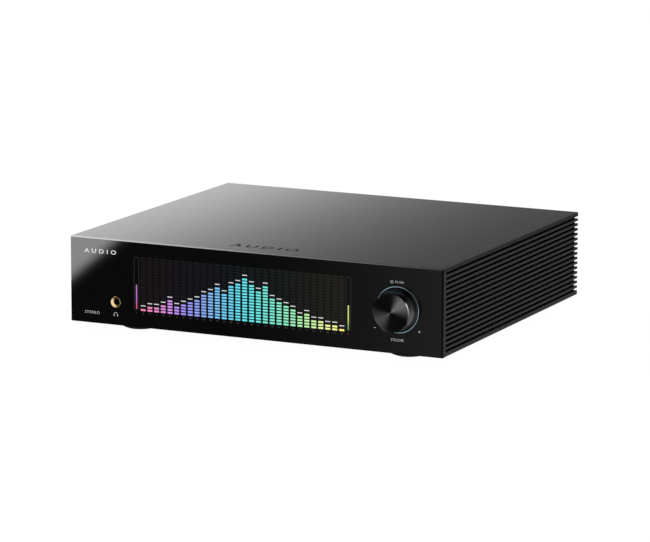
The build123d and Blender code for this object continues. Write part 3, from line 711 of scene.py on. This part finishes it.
def card(name, corners, look, only=(), never=()):
    """A lit board, or a strip of them, that reflections see: in the named nodes only, or in all but some."""
    mesh = bpy.data.meshes.new(name)
    quads = [(i, i + 1, i + 3, i + 2) for i in range(0, len(corners) - 3, 2)]
    mesh.from_pydata([tuple(c) for c in corners], [], quads)
    along = mesh.attributes.new("along", "FLOAT", "POINT")
    for i in range(len(corners)):
        along.data[i].value = (i // 2) / (len(corners) // 2 - 1)
    mesh.materials.append(look)
    made = bpy.data.objects.new(name, mesh)
    bpy.context.scene.collection.objects.link(made)
    made.visible_camera = False
    made.visible_diffuse = False
    made.visible_transmission = False
    made.visible_shadow = False
    if only or never:
        seen_in = bpy.data.collections.new(name + "_seen_in")
        made.light_linking.receiver_collection = seen_in
        for node_name in only or never:
            seen_in.objects.link(frame["nodes"][node_name])
        for member in seen_in.collection_objects:
            member.light_linking.link_state = "INCLUDE" if only else "EXCLUDE"
    return made


def glow(look, strength):
    """A board's light, added to a clear board, so that whatever doesn't mirror it sees past it."""
    light = look.node("Emission", {"Strength": strength}).outputs[0]
    clear = look.node("BsdfTransparent").outputs[0]
    return look.surface(look.node("AddShader", {0: light, 1: clear}).outputs[0])


def floor():
    """A white floor that takes a faint shadow, is clear from below and isn't mirrored."""
    reach = 14.0
    floor_mesh = bpy.data.meshes.new("floor")
    floor_mesh.from_pydata([(-reach, -reach, 0), (reach, -reach, 0), (reach, reach, 0), (-reach, reach, 0)],
                           [], [(0, 1, 2, 3)])
    look = Look("floor")
    shine = look.node("Emission", {"Color": grey(1.0), "Strength": 0.985}).outputs[0]
    cast = look.node("BsdfDiffuse", {"Color": grey(0.04)}).outputs[0]
    lit = look.node("AddShader", {0: shine, 1: cast}).outputs[0]
    under = look.node("NewGeometry").outputs["Backfacing"]
    clear = look.node("BsdfTransparent").outputs[0]
    both = look.node("MixShader", {0: under, 1: lit, 2: clear}).outputs[0]
    floor_mesh.materials.append(look.surface(both))
    made = bpy.data.objects.new("floor", floor_mesh)
    bpy.context.scene.collection.objects.link(made)
    made.visible_glossy = False


SOFTBOX_EDGE_AT = (-185.0, 70.0)        # a point of the edge, millimetres across and up the glass
SOFTBOX_EDGE_SLOPE = (0.633, 0.773)     # shares of across and of down that lead straight away from it


def glass_card():
    """What the glass mirrors for the camera: a softbox edge at its left, a faint glow at its right."""
    camera_at = bpy.context.scene.camera.matrix_world.translation
    mirrored = Vector((camera_at.x, 2 * FRONT_Y - camera_at.y, camera_at.z))
    reach = 1.75

    def seen_at(x, h):
        return mirrored + (front_spot(x, h) - mirrored) * reach

    corners = [seen_at(-260, -40), seen_at(260, -40), seen_at(-260, 140), seen_at(260, 140)]
    look = Look("glass_card")
    origin, step_x, step_h = seen_at(0, 0), seen_at(1, 0), seen_at(0, 1)
    per_x, per_h = (step_x - origin).x, (step_h - origin).z
    x = look.span(look.axis("X"), origin.x, origin.x + per_x * 100, 0, 100)
    x.node.clamp = False
    h = look.span(look.axis("Z"), origin.z, origin.z + per_h * 100, 0, 100)
    h.node.clamp = False
    # millimetres past the softbox's slanting edge
    across = look.math("MULTIPLY", look.math("ADD", x, -SOFTBOX_EDGE_AT[0]), SOFTBOX_EDGE_SLOPE[0])
    above = look.math("MULTIPLY", look.math("SUBTRACT", h, SOFTBOX_EDGE_AT[1]), SOFTBOX_EDGE_SLOPE[1])
    slant = look.math("SUBTRACT", across, above)
    edge = look.ramp(look.span(slant, -12, 16), [
        (0.0, grey(1.0)), (0.14, grey(0.98)), (0.32, grey(0.68)), (0.43, grey(0.40)), (0.55, grey(0.145)),
        (0.64, grey(0.048)), (0.7, grey(0.028)), (0.78, grey(0.010)), (0.92, grey(0.002)), (1.0, grey(0.0))])
    right = look.span(x, -20, 215, 0.0, 1.0)
    faint = look.math("MULTIPLY", look.math("POWER", right, 1.6), 0.26)
    total = look.math("ADD", look.math("MULTIPLY", edge, 5.7), look.math("ADD", faint, 0.02))
    card("glass_card", corners, glow(look, total), never=PROUD_OF_THE_GLASS)


def cover_card():
    """A tall soft board at the left of the object: the cover mirrors it, brighter lower down."""
    x = -0.36
    look = Look("cover_card")
    up = look.axis("Z")
    level = look.ramp(look.span(up, 0.10, 0.46), [
        (0.0, grey(0.86)), (0.18, grey(0.76)), (0.27, grey(0.59)), (0.345, grey(0.36)), (0.41, grey(0.21)),
        (0.52, grey(0.09)), (0.64, grey(0.045)), (0.8, grey(0.03)), (1.0, grey(0.025))])
    strength = look.math("MULTIPLY", level, 1.95)
    card("cover_card", [(x, -0.17, 0.02), (x, 2.6, 0.02), (x, -0.17, 1.3), (x, 2.6, 1.3)],
         look.surface(look.node("Emission", {"Strength": strength}).outputs[0]))


def overhead_card():
    """A soft ceiling board, brightest on the left."""
    look = Look("overhead_card")
    level = look.ramp(look.span(look.axis("X"), -1.15, -0.35), [
        (0.0, grey(1.0)), (0.25, grey(0.9)), (0.6, grey(0.3)), (1.0, grey(0.03))])
    strength = look.math("MULTIPLY", level, 15.0)
    card("overhead_card", [(-1.5, -0.68, 1.5), (0.5, -0.68, 1.5), (-1.5, -0.28, 1.5), (0.5, -0.28, 1.5)],
         glow(look, strength), never=PROUD_OF_THE_GLASS)


ARCH_STEP = 6    # degrees


def arched_card(name, middle, turns, leans, strengths, only):
    """An arched softbox where facets round the middle mirror it: turned about it, and leaning outward."""
    to_camera = (bpy.context.scene.camera.matrix_world.translation - middle).normalized()
    corners = []
    for turn in range(turns[0], turns[1], -ARCH_STEP):
        for lean in leans:
            out, up = math.radians(lean), math.radians(turn)
            facet = Vector((math.sin(out) * math.cos(up), -math.cos(out), math.sin(out) * math.sin(up)))
            corners.append(middle + (2 * facet.dot(to_camera) * facet - to_camera) * 1.5)
    look = Look(name)
    along = look.node("Attribute", attribute_name="along").outputs["Fac"]
    level = look.ramp(along, [(share, grey(value)) for share, value in strengths])
    card(name, corners, glow(look, look.math("MULTIPLY", level, 2.5)), only=only)


def knob_and_socket_cards():
    """Softboxes for the knob's turned face, its bright-cut edge and the flared mouth of the gold socket."""
    arched_card("knob_face_card", KNOB, (84, -14), (12, 30), [
        (0.0, 0.0), (0.12, 0.08), (0.25, 0.45), (0.375, 0.8), (0.5, 0.75), (0.67, 0.4), (0.85, 0.18),
        (1.0, 0.02)], ["volume_knob"])
    arched_card("knob_edge_card", KNOB, (34, -28), (38, 52), [
        (0.0, 0.5), (0.12, 0.75), (0.3, 0.5), (0.5, 0.25), (0.7, 0.12), (1.0, 0.02)], ["volume_knob"])
    arched_card("socket_card", JACK, (112, -76), (34, 56), [
        (0.0, 0.24), (0.2, 0.42), (0.6, 0.46), (0.85, 0.3), (1.0, 0.1)], ["jack_ring", "jack_bush"])


def knob_side_card():
    """A stand-in, close to the glass, for the pale room that the glass would hand on to the knob's side."""
    look = Look("knob_side_card")
    level = look.ramp(look.span(look.turn_round_knob(), math.radians(-80), math.radians(50)), [
        (0.0, grey(0.0)), (0.2, grey(0.06)), (0.36, grey(0.4)), (0.54, grey(0.65)), (0.72, grey(0.25)),
        (1.0, grey(0.0))])
    size, off_glass = 32 * MM, 0.2 * MM
    corners = [KNOB + Vector((x, -off_glass, z)) for z in (-size, size) for x in (0, size)]
    card("knob_side_card", corners, glow(look, level), only=["volume_knob", "knob_base"])


def world_light():
    """White to the eye; reflections see a dark studio in front and a pale one behind."""
    world = bpy.data.worlds.new("studio")
    bpy.context.scene.world = world
    sky = Nodes(world, "Generated")
    behind = sky.ramp(sky.span(sky.axis("Z"), -1.0, 1.0), [
        (0.0, grey(0.75)), (0.3, grey(0.6)), (0.37, grey(0.07)), (0.5, grey(0.07)), (0.62, grey(0.16)),
        (0.8, grey(0.4)), (1.0, grey(0.5))])
    room = sky.blend(sky.span(sky.axis("Y"), 0.25, 0.45), grey(0.012), behind)
    path = sky.node("LightPath").outputs
    mirrored = sky.blend(path["Is Glossy Ray"], grey(0.75), room)
    seen = sky.blend(path["Is Camera Ray"], mirrored, grey(1.0))
    shine = sky.node("Background", {"Color": seen}).outputs[0]
    sky.node("OutputWorld", {"Surface": shine})


display()
level_meters()
front_words()
front_symbols()
display_numbers()
cover_lettering()
floor()
glass_card()
cover_card()
overhead_card()
knob_and_socket_cards()
knob_side_card()
world_light()

bpy.context.view_layer.update()
